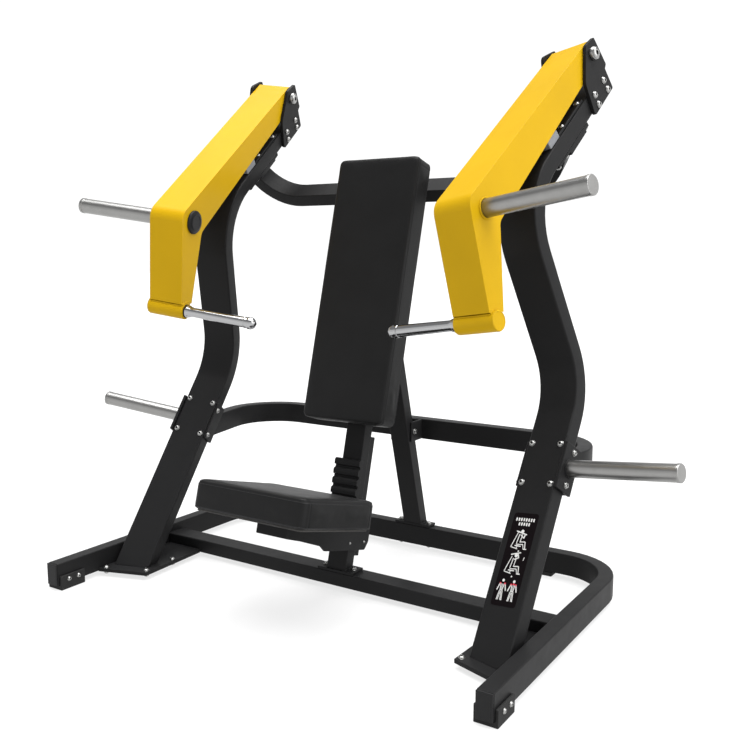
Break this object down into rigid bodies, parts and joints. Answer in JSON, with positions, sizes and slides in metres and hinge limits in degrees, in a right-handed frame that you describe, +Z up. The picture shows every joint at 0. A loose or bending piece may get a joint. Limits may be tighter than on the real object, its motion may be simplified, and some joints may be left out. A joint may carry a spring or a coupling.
{
  "type": "shoulder press machine",
  "caption": "Plate-loaded shoulder press with two swinging arms on leaning uprights, a reclined back pad and a ratchet-adjusted seat.",
  "frame": {"origin": "floor level, at the centre of the overall width and depth", "axes": "+Z up; +X towards the machine's right as seen by someone standing in front of the seat; +Y towards the rear; a user on the seat faces -Y"},
  "size_m": [2.065, 1.0085, 1.6575],
  "materials": {
    "frame_paint": "satin near-black powder coat, fine texture",
    "bracket_paint": "satin black powder coat on plates and brackets",
    "arm_paint": "smooth yellow powder coat",
    "horn_steel": "satin turned steel",
    "handle_chrome": "polished chrome plate",
    "upholstery": "black synthetic leather over foam",
    "pad_board": "black-stained plywood",
    "foot_rubber": "matt black rubber",
    "bumper_rubber": "mid-grey rubber",
    "black_plastic": "moulded black plastic",
    "bush_bronze": "plain turned bearing metal"
  },
  "bodies": {
    "frame": {"base_frame": "frame_paint", "front_crossbar": "frame_paint", "mid_crossbar": "frame_paint", "upper_crossbar": "frame_paint", "seat_post": "frame_paint", "post_foot_plate": "bracket_paint", "ratchet_rack": "bracket_paint", "post_rib": "bracket_paint", "rear_strut": "frame_paint", "strut_foot_plate": "bracket_paint", "strut_bracket": "bracket_paint", "back_pad": "upholstery", "back_pad_board": "pad_board", "back_pad_lower_bracket": "bracket_paint", "back_pad_upper_bracket": "bracket_paint", "left_end_cap": "black_plastic", "left_front_shoe": "foot_rubber", "left_rear_foot": "foot_rubber", "left_foot_plate": "bracket_paint", "left_upright": "frame_paint", "left_mid_saddle": "bracket_paint", "left_upper_saddle": "bracket_paint", "left_storage_horn": "horn_steel", "left_outer_pivot_plate": "bracket_paint", "left_inner_pivot_plate": "bracket_paint", "left_pivot_bolt": "horn_steel", "left_stop_plate": "bracket_paint", "left_bumper": "bumper_rubber", "right_end_cap": "black_plastic", "right_front_shoe": "foot_rubber", "right_rear_foot": "foot_rubber", "right_foot_plate": "bracket_paint", "right_upright": "frame_paint", "right_mid_saddle": "bracket_paint", "right_upper_saddle": "bracket_paint", "right_storage_horn": "horn_steel", "right_outer_pivot_plate": "bracket_paint", "right_inner_pivot_plate": "bracket_paint", "right_pivot_bolt": "horn_steel", "right_stop_plate": "bracket_paint", "right_bumper": "bumper_rubber"},
    "left_press_arm": {"left_arm": "arm_paint", "left_pivot_bush": "bush_bronze", "left_handle_socket": "arm_paint", "left_handle": "handle_chrome", "left_weight_horn": "horn_steel", "left_horn_cap": "black_plastic"},
    "right_press_arm": {"right_arm": "arm_paint", "right_pivot_bush": "bush_bronze", "right_handle_socket": "arm_paint", "right_handle": "handle_chrome", "right_weight_horn": "horn_steel", "right_horn_cap": "black_plastic"},
    "seat": {"seat_pad": "upholstery", "seat_board": "pad_board", "seat_carriage": "bracket_paint", "pull_pin_housing": "horn_steel"},
    "pull_pin": {"pull_pin": "black_plastic"}
  },
  "joints": [
    {"name": "left_arm_swing", "type": "hinge", "parent": "frame", "child": "left_press_arm", "pos_m": [-0.55869, 0.40356, 1.59903], "axis": [-0.9684, -0.2067, 0.1392], "range_deg": [0, 60]},
    {"name": "right_arm_swing", "type": "hinge", "parent": "frame", "child": "right_press_arm", "pos_m": [0.55869, 0.40356, 1.59903], "axis": [-0.9684, 0.2067, -0.1392], "range_deg": [0, 60]},
    {"name": "seat_height", "type": "slide", "parent": "frame", "child": "seat", "axis": [0, 0.2597, 0.9657], "range_m": [0, 0.15]},
    {"name": "pull_pin_slide", "type": "slide", "parent": "seat", "child": "pull_pin", "axis": [-1, 0, 0], "range_m": [0, 0.01], "stiffness_N_per_m": 400, "springref_m": -0.01}
  ]
}
